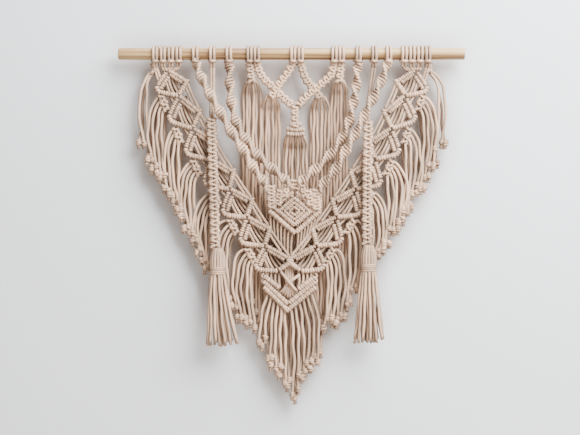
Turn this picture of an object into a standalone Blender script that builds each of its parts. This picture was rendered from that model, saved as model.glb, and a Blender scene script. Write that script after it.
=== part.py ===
"""Macrame wall hanging knotted on a wooden dowel.

The frame: +X to the right along the dowel, +Z up, -Y to the front, wall on +Y.
The origin is the middle of the dowel's axis. Sizes below are in millimetres and
are turned into metres where the meshes are made. A place in the work is given
by "out", the distance from the centre line, and "drop", the distance below the
dowel's axis, so that one table serves the left half and the right half. "Depth"
runs from the front, which is negative, to the wall.
"""

import bmesh
import bpy
import math
from collections import namedtuple
from mathutils import Vector

MM = 0.001
GAP = 0.3                    # clearance kept between two pieces
WELD = 1e-6                  # metres within which a tube's caps are joined to it

# --- driving sizes ---------------------------------------------------------
DOWEL_LENGTH = 450.0
DOWEL_RADIUS = 7.5
DOWEL_SIDES = 24
DOWEL_EDGE = 0.8             # softened edge of the sawn ends

CORD_RADIUS = 1.9            # a 4 mm cotton cord, slightly pressed
PRESSED_CORD = 1.7           # the same cord where it is held inside the net
BAR_RADIUS = 3.1             # a cord covered with double half hitches
BAR_RIDGE = 0.5              # how far a hitch stands up
BAR_STEP = 6.6               # distance between a ridge and the next hollow

LOOP_WIDTH = 8.2             # two cords side by side over the dowel
LOOP_THICKNESS = 3.0
LOOP_SIDES = 8
KNOT_DROP = 14.3             # centre of the lark's head knot under the dowel
KNOT_RADIUS = 3.4
KNOT_WIDTH = 8.7             # a little wider than its pair of cords

BAND_BACK = 15.0             # corners lie this far back up the band's axis
BAND_OUTER = 19.0            # and this far to its outer side
BAND_INNER = 16.0            # or to its inner side
BAND_TOP_AXIS = (-0.28, 0.96)
BAND_LAYERS = (-0.35, 0.45)  # the two holding cords, one just in front of the other
BAND_ENDS = (0.0, 1.2)       # how far they run on past the last crossing
BAR_PAIR = 4.9               # half width where two bars lie side by side
BAR_FLATNESS = 0.66          # thickness of the band as a share of its bars' width
CORNER_ROUND = 3.0           # rounding where a bar turns back at an edge
CELL_DEPTH = 0.9             # cords inside the net's cells
EDGE_DEPTH = 0.4             # cords along the net's inner edge
HEAD_REACH = 10.0            # loops this close to the first crossing run to it

STRIP_RADIUS = 3.3           # the short sennits that the fringe grows from
STRIP_DEPTH = 3.0
FRINGE_DEPTH = (0.5, 6.6)    # the front row and the back row of fringe cords
FRINGE_ROOT = (2.0, 4.0)
FRINGE_ARCH = 16.0           # how far the topmost cord of a group arches out
FRINGE_CORDS = 6
FIRST_CORDS = 4              # cords of the topmost group
END_KNOT_RADIUS = 2.7
END_KNOT_LENGTH = 8.0
END_STAGGER = (0.0, 5.0, 9.5, 14.5)

CURTAIN_DEPTH = 12.8
CURTAIN_STRIP = 7.8          # depth of its strips, just behind the lattice
CURTAIN_LEVEL = 22.0         # under its strip a curtain cord hangs straight
CURTAIN_TRIM = 28.0          # the curtain ends this much above the hem
THIN_STRIP = 2.3

SPIRAL_WIDE = 6.3            # half width of a half-knot spiral at a bead
SPIRAL_LOWER = 5.5           # in the lower half of a bead
SPIRAL_WAIST = 3.9           # and between two beads
SPIRAL_STEP = 6.2            # a third of a half turn
SENNIT_WIDE = 6.0            # half width of a square-knot sennit at a knot
SENNIT_WAIST = 4.9
SENNIT_PITCH = 9.3
SENNIT_FLATNESS = 0.62       # thickness as a share of its width
SENNIT_DEPTH = -8.8
SENNIT_END = -10.8           # it leans forward over the band to its tassel
PAIR_RADIUS = 2.6            # two cords side by side that run down to a sennit

TASSEL_DEPTH = -12.6
TASSEL_CORDS = 14
TASSEL_RADIUS = 11.6
TASSEL_FLATNESS = 0.68
TASSEL_NECK = 33.4           # from the tassel's top to the foot of its wrap
TASSEL_SKIRT = 91.5          # cords below the wrap
TASSEL_UNEVEN = 6.0          # by which neighbouring cords differ in length
TASSEL_RINGS = (0.86, 0.62)  # outer and inner ring of cords, as shares of the radius

CHAIN_RADIUS = 3.3           # square-knot chains of the lattice
CHAIN_RIDGE = 0.6
CHAIN_STEP = 6.8
CHAIN_LAYER = 0.17           # each chain lies this much behind the one before
CHAIN_FRONT = -0.9

DIAMOND_DEPTH = -8.0
DIAMOND_RADIUS = 2.5
DIAMOND_STEP = 8.0
DIAMOND_TIE = (-7.5, -6.7)   # depths of the two cords that hold the rings together
DIAMOND_CORDS = 8
DIAMOND_CLEAR = 7.5          # from the diamond's lower edge to the strip behind it
DIAMOND_STRIP = -2.0
GATHER_HALF = 14.0           # half width in which the diamond's cords draw together
GATHER_DROP = 249.0

CHEVRON_DEPTH = -1.2
CHEVRON_LAYER = 0.4          # each row lies this much behind the one before
CROSS_LAYERS = (-0.5, -1.1)
CROSS_RADIUS = 2.3
TIP_CORDS = 18
TIP_HALF = 50.0              # half width in which the tip's cords hang
TIP_STRIP = 6.3              # depth of the strip behind the chevron
TIP_LEVEL = 24.0

# --- tables ----------------------------------------------------------------
Place = namedtuple("Place", "out drop")
Route = namedtuple("Route", "out drop depth")
Spot = namedtuple("Spot", "x drop")
Sway = namedtuple("Sway", "drop shift")
Share = namedtuple("Share", "drop radius")

# Where the two holding cords of a band cross, from the dowel to the tip.
CROSSINGS = (
    Place(161.6, 20.5), Place(147.7, 53.7), Place(129.6, 96.2), Place(107.5, 135.9),
    Place(82.5, 174.9), Place(59.0, 211.4), Place(34.2, 248.7), Place(15.2, 281.5),
)

# The lower outline: where a fringe cord that hangs at "out" ends.
HEM = (
    Place(0, 462), Place(8, 438), Place(18, 424), Place(28, 403), Place(42, 384),
    Place(56, 352), Place(72, 334), Place(85, 316), Place(100, 292), Place(113, 272),
    Place(128, 246), Place(140, 229), Place(156, 200), Place(171, 170),
    Place(184, 146), Place(200, 122),
)

# The centre line hangs a little off plumb.
SWAY = (
    Sway(0, 0), Sway(180, 1.5), Sway(245, -1.0), Sway(285, -2.8), Sway(335, -3.6),
    Sway(460, -0.6),
)

# Pairs of cords looped over the dowel.
BAND_LOOPS = (146.3, 156.4, 166.6, 176.8)
LATTICE_LOOPS = (-54.5, -45.1, 2.0, 11.8, 55.5, 64.9)

# The strips that fringe groups grow from. The first hangs from the outermost
# loop, and the others lie along the band's outer edge, in the band's own frame.
FIRST_STRIP = (Place(180.6, 22.9), Place(180.1, 30.4))
Strip = namedtuple("Strip", "on outward")
EDGE_STRIP = (Strip(-6.5, 24.6), Strip(13.5, 24.4))

Spiral = namedtuple("Spiral", "side turn route")
SPIRALS = {
    "spiral_left_outer": Spiral(-1, -1, (
        Route(124.9, 18.8, -2.5), Route(117.0, 32.0, -7.0), Route(104.7, 54.3, -12.5),
        Route(91.9, 76.7, -13.0), Route(77.7, 102.2, -13.0), Route(62.8, 124.5, -13.0),
        Route(50.2, 147.2, -12.0), Route(40.5, 163.5, -9.0), Route(33.5, 175.5, -8.0))),
    "spiral_left_inner": Spiral(-1, -1, (
        Route(81.3, 18.8, 0.0), Route(80.0, 38.0, -2.0), Route(77.7, 63.3, -2.5),
        Route(71.8, 88.7, -2.5), Route(59.8, 111.2, -2.5), Route(43.6, 132.0, -3.0),
        Route(25.5, 148.7, -6.0), Route(13.5, 157.5, -8.0))),
    "spiral_right_inner": Spiral(1, 1, (
        Route(86.8, 18.8, 0.0), Route(83.9, 41.5, -2.0), Route(80.7, 61.9, -2.5),
        Route(75.3, 87.0, -2.5), Route(65.8, 109.0, -2.5), Route(50.0, 131.3, -3.0),
        Route(30.5, 150.0, -6.0), Route(18.5, 158.5, -8.0))),
    "spiral_right_outer": Spiral(1, 1, (
        Route(126.1, 18.8, -2.5), Route(117.4, 35.0, -7.0), Route(105.9, 58.8, -12.5),
        Route(95.0, 80.0, -13.0), Route(83.2, 104.5, -13.0), Route(71.0, 126.5, -13.0),
        Route(57.5, 150.0, -12.0), Route(47.5, 166.0, -9.0), Route(41.0, 178.0, -8.0))),
}

# The two sennits with their tassels; a tassel's skirt flares from low to high.
Hanging = namedtuple("Hanging", "loop_x top_x top_drop end_x end_drop tassel_x flare_low flare_high")
HANGINGS = {
    "left": Hanging(-102.7, -103.6, 84.0, -98.2, 251.5, -95.2, -15.0, 27.5),
    "right": Hanging(107.3, 99.0, 88.0, 97.5, 247.5, 99.5, -19.0, 21.0),
}

# A tassel's head and its wrapped neck, from the top down.
TASSEL_PROFILE = (
    Share(0.0, 0.30), Share(3.5, 0.80), Share(13.0, 1.0), Share(24.0, 0.86),
    Share(25.5, 0.93), Share(32.5, 0.93), Share(35.5, 0.72),
)

# Chains of the lattice under the middle of the dowel, the last six as ties.
CHAINS = (
    (Spot(-54.5, 10.2), Spot(-52.5, 25), Spot(-51.4, 35)),
    (Spot(-45.1, 10.2), Spot(-40.5, 26), Spot(-29, 39), Spot(-20.5, 46), Spot(-13, 56),
     Spot(1.5, 66)),
    (Spot(2.0, 10.2), Spot(-6.0, 26), Spot(-14.5, 37), Spot(-20.5, 46), Spot(-28, 59)),
    (Spot(11.8, 10.2), Spot(16.5, 28), Spot(24, 40), Spot(30, 46), Spot(39, 60)),
    (Spot(55.5, 10.2), Spot(51, 27), Spot(40, 38), Spot(30, 46), Spot(19.5, 55),
     Spot(7.0, 66)),
    (Spot(64.9, 10.2), Spot(63.5, 25), Spot(62.5, 35)),
    (Spot(4.5, 64), Spot(4.6, 80), Spot(4.8, 99)),
    (Spot(-4.5, 94.5), Spot(5, 95), Spot(15, 94.5)),
    (Spot(-4.5, 101), Spot(5, 102), Spot(15, 101)),
    (Spot(2.0, 15), Spot(7.0, 18.5), Spot(11.8, 15)),
    (Spot(-53.5, 18), Spot(-42.5, 21)),
    (Spot(63.8, 18), Spot(53.0, 21)),
)

# Groups of long cords behind: a short strip at a drop, and where its cords hang.
Curtain = namedtuple("Curtain", "left right drop hang_left hang_right cords")
CURTAINS = {
    "curtain_1": Curtain(-60.0, -46.0, 37.0, -64.0, -45.5, 4),
    "curtain_2": Curtain(-36.0, -23.0, 60.0, -40.5, -22.0, 4),
    "curtain_3": Curtain(-6.0, 17.0, 105.0, -17.0, 21.0, 5),
    "curtain_4": Curtain(33.0, 46.0, 61.0, 27.6, 45.0, 4),
    "curtain_5": Curtain(56.0, 69.0, 37.0, 51.0, 71.0, 4),
}

# The knotted diamond: slightly uneven rings around one centre, and two shoulders.
DIAMOND_CENTRE = Spot(3.4, 202.0)
DIAMOND_HALF = Spot(29.5, 24.5)
DIAMOND_RINGS = (1.0, 0.63, 0.27)
DIAMOND_CORNERS = (Spot(-0.96, 0.04), Spot(0, 1), Spot(1, 0), Spot(0, -1), Spot(-1.02, -0.03))
SHOULDERS = (
    (Spot(4.5, 167.5), Spot(-14.0, 177.0), Spot(-31.0, 191.0)),
    (Spot(2.5, 167.0), Spot(20.5, 177.5), Spot(37.5, 192.5)),
)
DIAMOND_TIES = (
    (Spot(-24.6, 204.0), Spot(31.4, 203.0)),
    (Spot(4.1, 225.3), Spot(2.9, 166.7)),
)

# The chevron at the foot: rows of hitches, each by way of its lowest point.
CHEVRON_ROWS = (
    (Spot(-35.0, 293.5), Spot(-19.0, 305.5), Spot(-8.5, 315.5)),
    (Spot(-35.0, 300.5), Spot(-4.0, 325.5), Spot(29.0, 302.5)),
    (Spot(-34.5, 307.0), Spot(-3.6, 333.0), Spot(29.5, 309.5)),
    (Spot(2.5, 316.5), Spot(11.0, 308.0), Spot(29.5, 295.0)),
)
CHEVRON_CROSS = (
    (Spot(-16.0, 287.2), Spot(6.5, 309.5)),
    (Spot(10.0, 287.2), Spot(-12.0, 311.5)),
)
TIP_ROOTS = (Spot(-34.5, 308.5), Spot(-3.6, 334.5), Spot(29.5, 311.0))

COTTON = (0.74, 0.60, 0.50, 1.0)
PINE = (0.70, 0.53, 0.33, 1.0)


# --- small helpers ----------------------------------------------------------
def between(rows, key):
    """Read the second column of a two-column table at a value of the first."""
    for low, high in zip(rows, rows[1:]):
        if key <= high[0]:
            share = (key - low[0]) / (high[0] - low[0])
            return low[1] + max(share, 0.0) * (high[1] - low[1])
    return rows[-1][1]


def point(x, drop, depth):
    return Vector((x, depth, -drop))


def layer(spots, depth):
    """These spots as points at one depth."""
    return [point(spot.x, spot.drop, depth) for spot in spots]


def place(side, out, drop, depth):
    """A point of the left (-1) or right (+1) half, on the swaying centre line."""
    return point(side * out + between(SWAY, drop), drop, depth)


def along(points, step):
    """Points about one step apart on the straight runs through these points."""
    result = [points[0]]
    for start, end in zip(points, points[1:]):
        count = max(1, round((end - start).length / step))
        result += [start.lerp(end, n / count) for n in range(1, count + 1)]
    return result


def smooth(points, step):
    """Points about one step apart on a smooth curve through these points."""
    padded = [2 * points[0] - points[1], *points, 2 * points[-1] - points[-2]]
    result = [points[0]]
    for a, b, c, d in zip(padded, padded[1:], padded[2:], padded[3:]):
        count = max(1, round((c - b).length / step))
        for n in range(1, count + 1):
            t = n / count
            result.append(0.5 * (2 * b + (c - a) * t + (2 * a - 5 * b + 4 * c - d) * t ** 2
                                 + (3 * b - a - 3 * c + d) * t ** 3))
    return result


def zigzag(corners, crossings):
    """A route between crossings by way of corners, and its stretches out to the corners."""
    result = [crossings[0]]
    doubled = []
    for start, corner, end in zip(crossings, corners, crossings[1:]):
        before = corner + (start - corner).normalized() * CORNER_ROUND
        after = corner + (end - corner).normalized() * CORNER_ROUND
        outward = along([start, before], BAR_STEP)
        homeward = along([after, end], BAR_STEP)
        result += outward[1:] + homeward
        doubled += outward[1:]
    return result, doubled


def ridged(points, high, low):
    return [high if n % 2 else low for n in range(len(points))]


def spread(count):
    """Evenly spaced shares between -1 and 1, half a step in from both ends."""
    return [(n + 0.5) / count * 2 - 1 for n in range(count)]


# --- making meshes ------------------------------------------------------------
def clear_scene():
    for thing in list(bpy.data.objects):
        bpy.data.objects.remove(thing, do_unlink=True)


def make_collection(name):
    collection = bpy.data.collections.new(name)
    bpy.context.scene.collection.children.link(collection)
    return collection


def make_material(name, colour, roughness):
    material = bpy.data.materials.new(name)
    material.use_nodes = True
    shader = material.node_tree.nodes["Principled BSDF"]
    shader.inputs["Base Color"].default_value = colour
    shader.inputs["Roughness"].default_value = roughness
    shader.inputs["Metallic"].default_value = 0.0
    material.diffuse_color = colour
    return material


def add_guide(name, data):
    """An object that is only used to make others."""
    guide = bpy.data.objects.new(name, data)
    guide.hide_render = True
    guide.display_type = "WIRE"
    GUIDES.objects.link(guide)
    return guide


def add_outline(curve, corners):
    """A closed polygon in a curve, from (x, y) corners."""
    outline = curve.splines.new("POLY")
    outline.points.add(len(corners) - 1)
    for knot, (x, y) in zip(outline.points, corners):
        knot.co = (x, y, 0, 1)
    outline.use_cyclic_u = True


def make_section(name, sides, swell, flatness=1.0):
    """The closed outline that is swept along a cord, with a corner to the front."""
    curve = bpy.data.curves.new(name, "CURVE")
    curve.dimensions = "2D"
    curve.fill_mode = "NONE"
    angles = [-math.pi / 2 - math.tau * n / sides for n in range(sides)]
    add_outline(curve, [(swell * math.cos(a), swell * flatness * math.sin(a)) for a in angles])
    return add_guide(name, curve)


def as_mesh(guide):
    """The evaluated mesh of a guide, which is then removed."""
    graph = bpy.context.evaluated_depsgraph_get()
    mesh = bpy.data.meshes.new_from_object(guide.evaluated_get(graph), depsgraph=graph)
    bpy.data.objects.remove(guide, do_unlink=True)
    return mesh


def sweep(section, runs):
    """One shell object with a closed tube for each run of (points, radii, tilts)."""
    curve = bpy.data.curves.new("cords", "CURVE")
    curve.dimensions = "3D"
    curve.bevel_mode = "OBJECT"
    curve.bevel_object = section
    curve.use_fill_caps = True
    for points, radii, tilts in runs:
        spline = curve.splines.new("POLY")
        spline.points.add(len(points) - 1)
        for knot, at, radius, tilt in zip(spline.points, points, radii, tilts):
            knot.co = (*(at * MM), 1)
            knot.radius = radius * MM
            knot.tilt = tilt
    mesh = as_mesh(add_guide("cords", curve))
    welded = bmesh.new()
    welded.from_mesh(mesh)
    bmesh.ops.remove_doubles(welded, verts=welded.verts, dist=WELD)
    welded.to_mesh(mesh)
    welded.free()
    return add_guide("cords", mesh)


def run(points, radius, tilts=None):
    """A run for sweep, whose radius is one number or a list."""
    radii = radius if isinstance(radius, list) else [radius] * len(points)
    return points, radii, tilts or [0.0] * len(points)


def flattened(shell, share):
    """The same shell, pressed towards the plane of the work."""
    for vertex in shell.data.vertices:
        vertex.co.y *= share
    return shell


def merge(shells):
    """One guide that holds all of these shells, still as separate bodies."""
    merged = bmesh.new()
    for shell in shells:
        merged.from_mesh(shell.data)
        bpy.data.objects.remove(shell, do_unlink=True)
    mesh = bpy.data.meshes.new("shells")
    merged.to_mesh(mesh)
    merged.free()
    return add_guide("shells", mesh)


def fuse(name, shells):
    """Join overlapping closed shells into the one closed body of a cotton node."""
    first, rest = shells[0], merge(shells[1:])
    union = first.modifiers.new("union", "BOOLEAN")
    union.operation = "UNION"
    union.solver = "EXACT"
    union.use_self = True
    union.object = rest
    mesh = as_mesh(first)
    bpy.data.objects.remove(rest, do_unlink=True)
    add_node(name, mesh, COTTON_CORD)


def add_node(name, mesh, material):
    mesh.name = name
    mesh.materials.clear()
    mesh.materials.append(material)
    mesh.shade_smooth()
    mesh.set_sharp_from_angle(angle=math.radians(50))
    HANGING.objects.link(bpy.data.objects.new(name, mesh))


# --- the pieces ------------------------------------------------------------------
def along_dowel():
    """The turn that lays a shape made around +Z along the dowel."""
    return Vector((0, 0, 1)).rotation_difference(Vector((1, 0, 0))).to_matrix()


def dowel():
    shape = bmesh.new()
    bmesh.ops.create_cone(shape, cap_ends=True, segments=DOWEL_SIDES, depth=DOWEL_LENGTH * MM,
                          radius1=DOWEL_RADIUS * MM, radius2=DOWEL_RADIUS * MM)
    rims = [edge for edge in shape.edges if any(len(face.verts) > 4 for face in edge.link_faces)]
    bmesh.ops.bevel(shape, geom=rims, offset=DOWEL_EDGE * MM, segments=1, affect="EDGES")
    bmesh.ops.rotate(shape, verts=shape.verts, cent=(0, 0, 0), matrix=along_dowel())
    mesh = bpy.data.meshes.new("dowel")
    shape.to_mesh(mesh)
    shape.free()
    add_node("dowel", mesh, make_material("pine", PINE, 0.6))


def dowel_loop(x):
    """The flat ring that a pair of cords makes around the dowel."""
    ring = bpy.data.curves.new("loop", "CURVE")
    ring.dimensions = "2D"
    ring.fill_mode = "BOTH"
    ring.extrude = LOOP_WIDTH / 2 * MM
    inner = (DOWEL_RADIUS + GAP) / math.cos(math.pi / LOOP_SIDES)
    angles = [math.tau * (n + 0.5) / LOOP_SIDES for n in range(LOOP_SIDES)]
    for radius in (inner * MM, (inner + LOOP_THICKNESS) * MM):
        add_outline(ring, [(radius * math.cos(a), radius * math.sin(a)) for a in angles])
    mesh = as_mesh(add_guide("loop", ring))
    shape = bmesh.new()
    shape.from_mesh(mesh)
    bmesh.ops.remove_doubles(shape, verts=shape.verts, dist=WELD)
    bmesh.ops.rotate(shape, verts=shape.verts, cent=(0, 0, 0), matrix=along_dowel())
    bmesh.ops.translate(shape, verts=shape.verts, vec=(x * MM, 0, 0))
    shape.to_mesh(mesh)
    shape.free()
    return add_guide("loop", mesh)


def loop_knot(x):
    """The lark's head knot: a short bar across the pair of cords."""
    half = KNOT_WIDTH / 2
    return run([point(x - half, KNOT_DROP, 0), point(x + half, KNOT_DROP, 0)], KNOT_RADIUS)


def end_knot(points, end):
    """Finish a cord's route straight down with an overhand knot and a short tail."""
    tip = Vector((points[-1].x, points[-1].y, -end))
    neck = tip + Vector((0, 0, END_KNOT_LENGTH))
    knot = neck.lerp(tip, 0.5)
    radii = [CORD_RADIUS] * len(points) + [CORD_RADIUS * 0.85, END_KNOT_RADIUS, CORD_RADIUS * 0.8]
    return run([*points, neck, knot, tip], radii)


def band_frame(n):
    """The crossing n with the band's own axis and its outward side, as flat vectors."""
    here = Vector(CROSSINGS[n])
    axis = here - Vector(CROSSINGS[n - 1]) if n else Vector(BAND_TOP_AXIS)
    axis.normalize()
    return here, axis, Vector((axis.y, -axis.x))


def band_corner(n, outer):
    here, axis, outward = band_frame(n)
    reach = BAND_OUTER if outer else -BAND_INNER
    return here - BAND_BACK * axis + reach * outward


def band(side, name):
    """A net of two holding cords that zigzag across each other, with its cords and loops."""
    count = len(CROSSINGS)
    crossings = [Vector(crossing) for crossing in CROSSINGS]
    last_axis = band_frame(count - 1)[1]

    def world(flat, depth):
        return place(side, flat.x, flat.y, depth)

    bars = []
    for phase, (depth, reach) in enumerate(zip(BAND_LAYERS, BAND_ENDS)):
        corners = [band_corner(n, outer=(n + phase) % 2 == 1) for n in range(1, count)]
        ends = [*crossings[:-1], crossings[-1] + last_axis * reach]
        points, doubled = zigzag([world(spot, depth) for spot in corners],
                                 [world(spot, depth) for spot in ends])
        widths = [BAR_PAIR if spot in doubled else BAR_RADIUS for spot in points]
        ridges = ridged(points, BAR_RIDGE, -BAR_RIDGE)
        bars.append(run(points, [width + ridge for width, ridge in zip(widths, ridges)]))

    cords = []
    inner_edge = [band_corner(1, False)]
    for n, (here, following) in enumerate(zip(crossings, crossings[1:])):
        axis = (following - here).normalized()
        outward = Vector((axis.y, -axis.x))
        middle = here.lerp(following, 0.5)
        for reach in (BAND_OUTER, -BAND_INNER):
            cell = [middle + outward * reach * 0.42, following - axis * 4.0 + outward * reach * 0.23]
            cords.append(run([world(spot, CELL_DEPTH) for spot in cell], PRESSED_CORD))
        if n:
            waist = here.lerp(following, 0.2) - outward * BAND_INNER
            inner_edge += [waist, band_corner(n + 1, False)]
    cords.append(run([world(spot, EDGE_DEPTH) for spot in inner_edge], CORD_RADIUS))

    for out in BAND_LOOPS:
        goal = crossings[0]
        if abs(out - goal.x) > HEAD_REACH:
            goal = band_corner(1, outer=out > goal.x)
        start = point(side * out, KNOT_DROP, CELL_DEPTH)
        cords.append(run([start, world(goal, EDGE_DEPTH)], CORD_RADIUS))

    centres = [side * out for out in BAND_LOOPS]
    knots = [loop_knot(x) for x in centres]
    loops = [dowel_loop(x) for x in centres]
    net = flattened(sweep(SQUARE, bars), BAR_FLATNESS)
    fuse(name, [net, sweep(SQUARE, knots), sweep(TRIANGLE, cords), *loops])


def group_strip(n):
    """The top and the foot of the short sennit that a fringe group grows from."""
    if n == 0:
        return [Vector(end) for end in FIRST_STRIP]
    here, axis, outward = band_frame(n)
    return [here + axis * end.on + outward * end.outward for end in EDGE_STRIP]


def fringe_route(root, x, depth):
    """Out of the strip, over in an arch where it hangs far out, and down at x."""
    reach = abs(x - root.x)
    falling = Vector((x, depth, root.z - reach * 0.95 - 4.0))
    if reach < FRINGE_ARCH * 0.7:
        return [root, falling]
    shoulder = Vector((root.x + (x - root.x) * 0.62, (root.y + depth) / 2, root.z - reach * 0.12))
    return [root, shoulder, falling]


def fringe_group(side, n, name):
    """The cords that hang from one strip, in two rows, each with a knotted end."""
    top, foot = group_strip(n)
    count = FRINGE_CORDS if n else FIRST_CORDS
    outermost = top.x + FRINGE_ARCH
    innermost = foot.x + 11.0
    if n < len(CROSSINGS) - 2:
        overlap = 3.4 if n else 5.5
        innermost = group_strip(n + 1)[0].x + FRINGE_ARCH + overlap
    runs = []
    for k in range(count):
        share = k / (count - 1)
        origin = top.lerp(foot, 0.06 + 0.88 * share)
        out = outermost + (innermost - outermost) * share
        end = between(HEM, out) - END_STAGGER[k % len(END_STAGGER)]
        root = place(side, origin.x, origin.y, FRINGE_ROOT[k % 2])
        hang = place(side, out, end, 0)
        runs.append(end_knot(fringe_route(root, hang.x, FRINGE_DEPTH[k % 2]), end))
    strip = [place(side, *top, STRIP_DEPTH), place(side, *foot, STRIP_DEPTH)]
    fuse(name, [sweep(SQUARE, [run(strip, STRIP_RADIUS)]), sweep(TRIANGLE, runs)])


def spiral(name, side, turn, route):
    """A half-knot spiral: a flat sennit that twists as it hangs from its own loop."""
    points = smooth([point(side * row.out, row.drop, row.depth) for row in route], SPIRAL_STEP)
    bead = (SPIRAL_WAIST, SPIRAL_WIDE, SPIRAL_LOWER)
    radii = [bead[n % 3] for n in range(len(points))]
    radii[0] = radii[-1] = SPIRAL_WAIST * 0.8
    tilts = [turn * math.pi / 3 * n for n in range(len(points))]
    loop_x = side * route[0].out
    neck = [point(loop_x, KNOT_DROP - 0.4, 0.3), points[0].lerp(points[1], 0.83)]
    fuse(name, [sweep(FLAT, [run(points, radii, tilts)]),
                sweep(SQUARE, [loop_knot(loop_x), run(neck, PAIR_RADIUS)]),
                dowel_loop(loop_x)])


def hanging_sennit(name, hanging):
    """A pair of cords behind the spiral that goes on as a square-knot sennit in front."""
    start = point(hanging.loop_x, KNOT_DROP, 0.0)
    top = point(hanging.top_x, hanging.top_drop, SENNIT_DEPTH / 2)
    end = point(hanging.end_x, hanging.end_drop, SENNIT_END)
    behind = [point((start.x + top.x) / 2, (KNOT_DROP + hanging.top_drop) / 2, 2.5),
              point(hanging.top_x, hanging.top_drop - 10.0, 1.2)]
    inside = point(hanging.top_x + 0.4, hanging.top_drop + 3.0, SENNIT_DEPTH / 2 - 0.3)
    neck = smooth([start, *behind, inside], 14.0)
    lean = top.lerp(end, 0.2)
    spine = along([top, Vector((lean.x, SENNIT_DEPTH, lean.z)), end], SENNIT_PITCH / 2)
    radii = ridged(spine, SENNIT_WIDE, SENNIT_WAIST)
    fuse(name, [sweep(FLAT, [run(spine, radii)]),
                sweep(SQUARE, [loop_knot(hanging.loop_x), run(neck, PAIR_RADIUS)]),
                dowel_loop(hanging.loop_x)])


def tassel(name, hanging):
    """A tassel: a folded head, a wrap around its neck, and a skirt of loose cords."""
    x = hanging.tassel_x
    top = hanging.end_drop + 2 * GAP
    head = [point(x, top + row.drop, TASSEL_DEPTH) for row in TASSEL_PROFILE]
    widths = [TASSEL_RADIUS * row.radius for row in TASSEL_PROFILE]
    foot = top + TASSEL_NECK
    middle_flare = (hanging.flare_low + hanging.flare_high) / 2
    half_flare = (hanging.flare_high - hanging.flare_low) / 2 / TASSEL_RINGS[0]
    cords = []
    for n in range(TASSEL_CORDS):
        angle = math.tau * (n + 0.25) / TASSEL_CORDS
        across = math.cos(angle) * TASSEL_RINGS[n % 2]
        deep = math.sin(angle) * TASSEL_RINGS[n % 2] * TASSEL_FLATNESS * TASSEL_RADIUS * 0.9
        length = TASSEL_SKIRT - TASSEL_UNEVEN * (n % 3)
        route = [point(x + across * TASSEL_RADIUS * 0.72, foot - 3.0, TASSEL_DEPTH + deep * 0.8),
                 point(x + across * TASSEL_RADIUS, foot + length / 4, TASSEL_DEPTH + deep),
                 point(x + middle_flare + across * half_flare, foot + length, TASSEL_DEPTH + deep)]
        cords.append(run(route, CORD_RADIUS))
    fuse(name, [sweep(HEAD, [run(head, widths)]), sweep(TRIANGLE, cords)])


def lattice():
    """Square-knot chains that cross between three pairs of loops, with a bar below."""
    runs = []
    for n, chain in enumerate(CHAINS):
        points = smooth(layer(chain, CHAIN_FRONT + CHAIN_LAYER * n), CHAIN_STEP)
        runs.append(run(points, ridged(points, CHAIN_RADIUS, CHAIN_RADIUS - CHAIN_RIDGE)))
    fuse("lattice", [sweep(SQUARE, runs), *[dowel_loop(x) for x in LATTICE_LOOPS]])


def curtain(name, group):
    """Long cords that hang behind the spirals and the diamond from a short strip."""
    runs = []
    for n in range(group.cords):
        share = n / (group.cords - 1)
        root = point(group.left + (group.right - group.left) * share, group.drop, CURTAIN_STRIP)
        x = group.hang_left + (group.hang_right - group.hang_left) * share
        end = between(HEM, abs(x)) - CURTAIN_TRIM - END_STAGGER[n % len(END_STAGGER)]
        runs.append(end_knot([root, point(x, group.drop + CURTAIN_LEVEL, CURTAIN_DEPTH)], end))
    strip = [point(group.left - 1.0, group.drop, CURTAIN_STRIP),
             point(group.right + 1.0, group.drop, CURTAIN_STRIP)]
    fuse(name, [sweep(SQUARE, [run(strip, THIN_STRIP)]), sweep(TRIANGLE, runs)])


def diamond():
    """Concentric rings of hitches, with two shoulders that the spirals join."""
    rings = [[Spot(DIAMOND_CENTRE.x + corner.x * DIAMOND_HALF.x * scale,
                   DIAMOND_CENTRE.drop + corner.drop * DIAMOND_HALF.drop * scale)
              for corner in DIAMOND_CORNERS] for scale in DIAMOND_RINGS]
    bars = []
    for spots in (*rings, *SHOULDERS):
        points = along(layer(spots, DIAMOND_DEPTH), DIAMOND_STEP)
        bars.append(run(points, ridged(points, DIAMOND_RADIUS + BAR_RIDGE, DIAMOND_RADIUS)))
    ties = [run(layer(spots, depth), CORD_RADIUS)
            for spots, depth in zip(DIAMOND_TIES, DIAMOND_TIE)]
    fuse("diamond", [sweep(SQUARE, bars), sweep(TRIANGLE, ties)])


def diamond_fringe():
    """Cords under the diamond's lower edges that draw together between the bands."""
    half = DIAMOND_HALF.x * 0.95
    edge = DIAMOND_CENTRE.drop + DIAMOND_CLEAR
    strip = layer((Spot(DIAMOND_CENTRE.x - half, edge),
                   Spot(DIAMOND_CENTRE.x, edge + DIAMOND_HALF.drop),
                   Spot(DIAMOND_CENTRE.x + half, edge)), DIAMOND_STRIP)
    runs = []
    for share in spread(DIAMOND_CORDS):
        root = strip[1].lerp(strip[0] if share < 0 else strip[2], abs(share))
        goal = place(1, share * GATHER_HALF, GATHER_DROP - abs(share) * 9.0, -0.5)
        swing = root.lerp(goal, 0.5) + Vector((share * 3.0, 0, 0))
        runs.append(run([root, swing, goal], PRESSED_CORD))
    fuse("diamond_fringe", [sweep(SQUARE, [run(strip, THIN_STRIP)]), sweep(TRIANGLE, runs)])


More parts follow.
